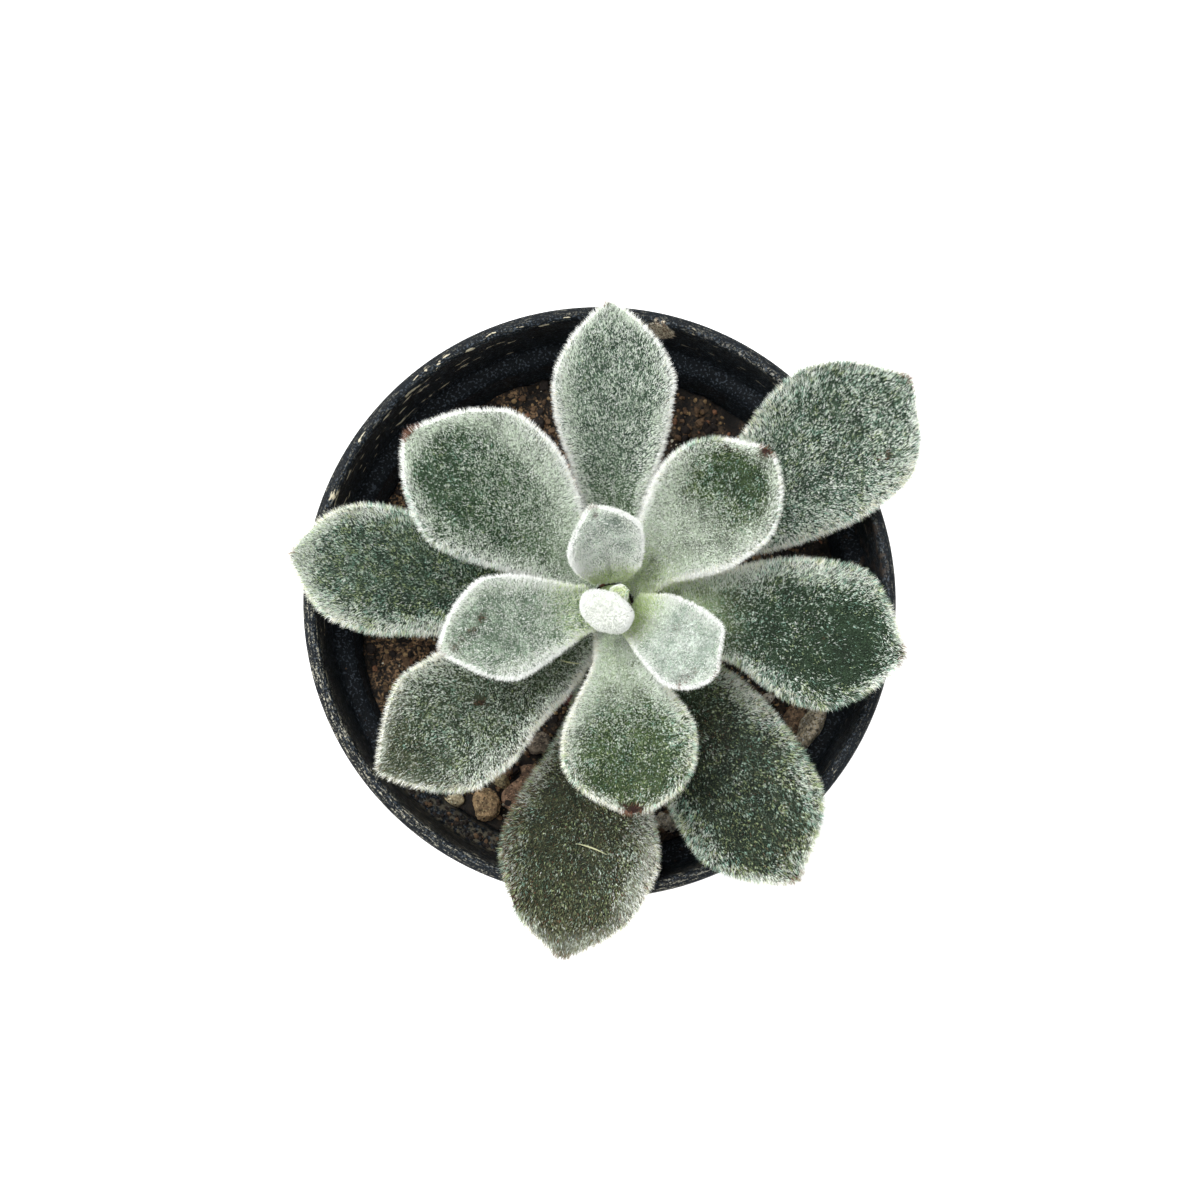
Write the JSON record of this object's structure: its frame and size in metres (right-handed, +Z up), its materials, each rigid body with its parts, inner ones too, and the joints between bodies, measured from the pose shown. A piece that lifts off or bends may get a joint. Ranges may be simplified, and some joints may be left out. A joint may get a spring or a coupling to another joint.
{
  "type": "potted frosty echeveria",
  "caption": "Rosette succulent with thick velvety leaves, rooted in soil with loose stones in a round black plastic nursery pot.",
  "frame": {"origin": "centre of the pot's underside, in the plane that the pot stands on", "axes": "+Z up along the pot's axis, +X to the right and +Y away from the viewer as in the picture"},
  "size_m": [0.1095, 0.1146, 0.1221],
  "materials": {
    "pot_plastic": "satin black moulded plastic, dusty and scuffed",
    "potting_soil": "coarse dark brown potting mix with tan and reddish grains",
    "stem_bark": "matt brownish green stem with leaf scars",
    "old_leaf": "matt dark green under short white velvet hairs",
    "young_leaf": "matt pale green, nearly white with dense velvet hairs",
    "stone": "rough tan and grey-brown stones and bits of fired clay"
  },
  "bodies": {
    "root": {"pot": "pot_plastic", "soil": "potting_soil", "stem": "stem_bark", "leaf_01": "old_leaf", "leaf_02": "old_leaf", "leaf_03": "old_leaf", "leaf_04": "old_leaf", "leaf_05": "old_leaf", "leaf_06": "old_leaf", "leaf_07": "old_leaf", "leaf_08": "old_leaf", "leaf_09": "old_leaf", "leaf_10": "old_leaf", "leaf_11": "young_leaf", "leaf_12": "young_leaf", "leaf_13": "young_leaf", "leaf_14": "young_leaf", "heart_bud": "young_leaf", "stone_01": "stone", "stone_02": "stone", "stone_03": "stone", "stone_04": "stone", "stone_05": "stone", "stone_06": "stone", "stone_07": "stone", "stone_08": "stone", "stone_09": "stone"}
  },
  "joints": []
}
